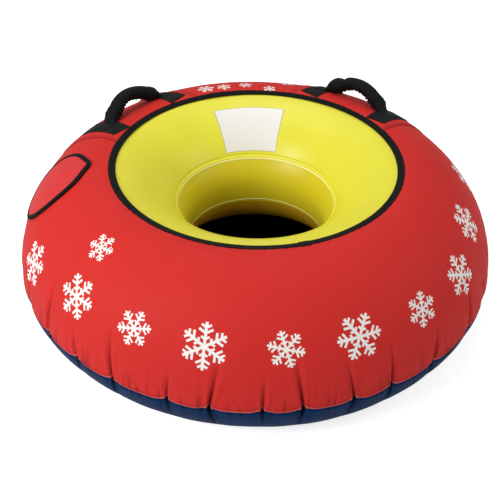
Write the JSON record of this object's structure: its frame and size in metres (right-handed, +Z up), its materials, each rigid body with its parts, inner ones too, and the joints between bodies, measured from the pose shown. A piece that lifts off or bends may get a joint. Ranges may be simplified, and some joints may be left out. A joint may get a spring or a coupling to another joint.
{
  "type": "snow tube",
  "caption": "Inflated ring sled: a welded bladder in a sewn cloth cover with a bound seat opening, padded swinging handles, and a valve under a bound flap.",
  "frame": {"origin": "on the floor, on the ring's axis", "axes": "+Z up along the ring's axis; -Y toward the tube's front, with the two handles on the far side"},
  "size_m": [0.9992, 0.9992, 0.3628],
  "materials": {
    "cover_cloth_red": "coated woven polyester",
    "base_cloth_navy": "smooth coated woven polyester",
    "binding_tape": "woven tape",
    "bladder_film": "satin PVC sheet",
    "webbing": "woven webbing",
    "grip_cloth": "gathered woven nylon",
    "padding_foam": "foam",
    "hook_strip": "nylon hooks",
    "loop_strip": "brushed nylon loops",
    "valve_soft": "soft pale PVC",
    "valve_hard": "moulded",
    "diaphragm_rubber": "moulded"
  },
  "bodies": {
    "tube": {"cover_top_panel": "cover_cloth_red", "cover_base_panel": "base_cloth_navy", "seat_opening_binding": "binding_tape", "perimeter_seam_tape": "binding_tape", "bladder_top_sheet": "bladder_film", "bladder_well_sheet": "bladder_film", "bladder_base_sheet": "bladder_film", "left_handle_backing": "cover_cloth_red", "left_handle_front_patch": "webbing", "left_handle_rear_patch": "webbing", "left_handle_front_strap_end": "webbing", "left_handle_rear_strap_end": "webbing", "right_handle_backing": "cover_cloth_red", "right_handle_front_patch": "webbing", "right_handle_rear_patch": "webbing", "right_handle_front_strap_end": "webbing", "right_handle_rear_strap_end": "webbing", "cover_loop_strip": "loop_strip", "valve_window_facing": "binding_tape", "valve_base": "valve_soft", "valve_body": "valve_hard", "valve_diaphragm": "diaphragm_rubber"},
    "left_handle": {"left_handle_sleeve": "grip_cloth", "left_handle_padding": "padding_foam", "left_handle_webbing": "webbing"},
    "right_handle": {"right_handle_sleeve": "grip_cloth", "right_handle_padding": "padding_foam", "right_handle_webbing": "webbing"},
    "flap": {"valve_flap": "cover_cloth_red", "valve_flap_binding": "binding_tape", "flap_hook_strip": "hook_strip"},
    "cap": {"valve_cap": "valve_hard"}
  },
  "joints": [
    {"name": "left_handle_swing", "type": "hinge", "parent": "tube", "child": "left_handle", "pos_m": [-0.25677, 0.24367, 0.3328], "axis": [-0.6884, -0.7254, 0], "range_deg": [-85, 85], "stiffness_Nm_per_rad": 0.12},
    {"name": "right_handle_swing", "type": "hinge", "parent": "tube", "child": "right_handle", "pos_m": [0.25677, 0.24367, 0.3328], "axis": [-0.6884, 0.7254, 0], "range_deg": [-85, 85], "stiffness_Nm_per_rad": 0.12},
    {"name": "flap_open", "type": "hinge", "parent": "tube", "child": "flap", "pos_m": [-0.34012, 0.01009, 0.31824], "axis": [0.0297, 0.9996, 0], "range_deg": [0, 160]},
    {"name": "cap_turn", "type": "hinge", "parent": "tube", "child": "cap", "pos_m": [-0.41741, 0.01239, 0.26601], "axis": [-0.6545, 0.0194, 0.7558], "continuous": true}
  ]
}
